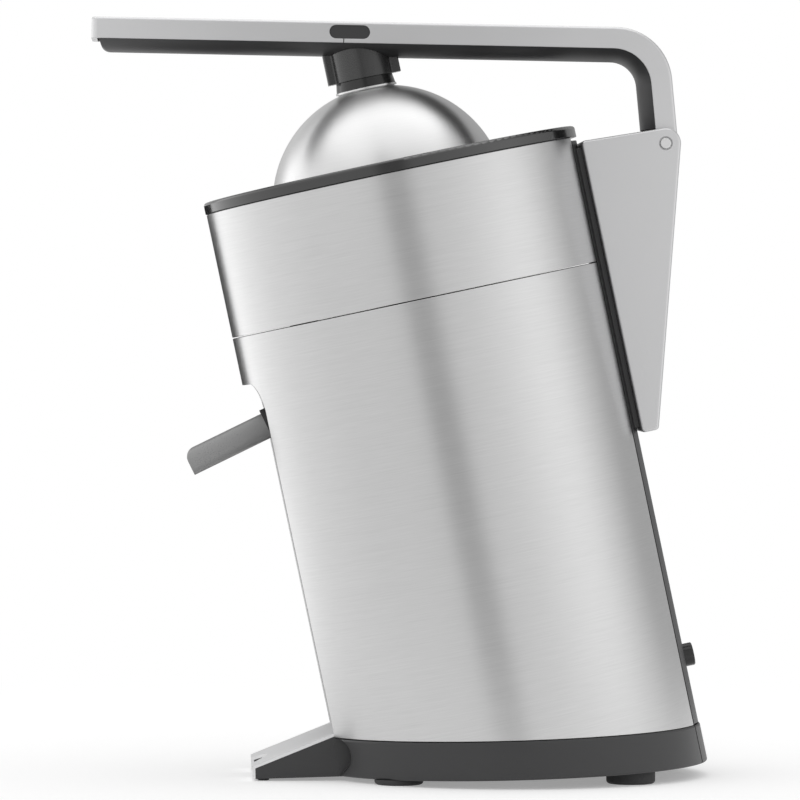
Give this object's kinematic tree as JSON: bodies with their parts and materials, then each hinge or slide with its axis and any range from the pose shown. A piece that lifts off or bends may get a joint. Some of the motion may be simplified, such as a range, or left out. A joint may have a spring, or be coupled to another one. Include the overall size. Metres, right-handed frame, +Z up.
{
  "type": "electric citrus press",
  "caption": "Leaning electric citrus press: a bent lever brings a steel dome down over a turning reamer cone, and a tilting spout drains the collector into a front niche.",
  "frame": {"origin": "centre of the footprint box on the floor", "axes": "+Z up, front (spout and foot) at -X, hinge at +X, mirror plane at Y = 0"},
  "size_m": [0.3198, 0.1972, 0.3927],
  "materials": {
    "brushed_steel": "fine brushed",
    "strainer_steel": "satin",
    "satin_aluminium": "satin",
    "silver_paint": "satin",
    "black_plastic": "fine matte",
    "gloss_black": "gloss",
    "grey_plastic": "satin",
    "rubber": "matte",
    "bright_steel": "turned",
    "gear_plastic": "moulded",
    "motor_steel": "zinc",
    "iron": "laminated",
    "copper": "enamelled",
    "bronze": "sintered"
  },
  "bodies": {
    "base": {"base_pan": "black_plastic", "foot_plate": "silver_paint", "cord_plate": "black_plastic", "rubber_feet": "rubber", "body_shell": "brushed_steel", "niche_panel": "black_plastic", "back_panel": "black_plastic", "top_deck": "black_plastic", "deck_bush": "bronze", "tie_rods": "bright_steel", "gear_plate": "bright_steel", "gear_pillars": "bright_steel", "idler_axle": "bright_steel", "motor_can": "motor_steel", "motor_end_plate": "motor_steel", "motor_bushes": "bronze", "motor_magnets": "iron", "brush_holders": "black_plastic", "switch_body": "black_plastic", "spout_socket": "black_plastic", "juice_chute": "grey_plastic", "hinge_bracket": "satin_aluminium", "bracket_screws": "bright_steel", "hinge_pin": "bright_steel", "collector_bowl": "black_plastic", "collector_sleeve": "brushed_steel", "rim_ring": "black_plastic", "strainer": "strainer_steel"},
    "arm": {"arm_channel": "satin_aluminium", "arm_liner": "black_plastic", "arm_inserts": "black_plastic", "arm_bushes": "bronze", "dome_housing": "black_plastic", "neck_ring": "gloss_black", "dome_washer": "bright_steel", "press_dome": "brushed_steel", "dome_bolt": "bright_steel"},
    "rotor": {"motor_shaft": "bright_steel", "pinion": "bronze", "rotor_core": "iron", "rotor_windings": "copper", "commutator": "copper"},
    "idler": {"idler_gear": "gear_plastic"},
    "drive": {"reamer_cone": "grey_plastic", "drive_shaft": "bright_steel", "output_gear": "gear_plastic"},
    "spout": {"spout": "grey_plastic"},
    "button": {"power_button": "gloss_black"}
  },
  "joints": [
    {"name": "arm_lift", "type": "hinge", "parent": "base", "child": "arm", "pos_m": [0.1363, 0, 0.32754], "axis": [0, 1, 0], "range_deg": [0, 85]},
    {"name": "motor_spin", "type": "hinge", "parent": "base", "child": "rotor", "pos_m": [0.02227, 0, 0.16738], "axis": [-0.2062, 0, 0.9785], "continuous": true},
    {"name": "idler_spin", "type": "hinge", "parent": "base", "child": "idler", "pos_m": [0.04719, 0, 0.22373], "axis": [-0.2062, 0, 0.9785], "continuous": true},
    {"name": "cone_spin", "type": "hinge", "parent": "base", "child": "drive", "pos_m": [-0.00866, 0, 0.31416], "axis": [-0.2062, 0, 0.9785], "continuous": true},
    {"name": "spout_tilt", "type": "hinge", "parent": "base", "child": "spout", "pos_m": [-0.06133, 0, 0.18552], "axis": [0, 1, 0], "range_deg": [0, 42]},
    {"name": "button_press", "type": "slide", "parent": "base", "child": "button", "axis": [-0.9785, 0, -0.2062], "range_m": [0, 0.0025], "stiffness_N_per_m": 600, "springref_m": -0.001}
  ],
  "couplings": [
    {"joint": "idler_spin", "follows": "motor_spin", "ratio": -0.28571},
    {"joint": "cone_spin", "follows": "motor_spin", "ratio": 0.081633}
  ]
}
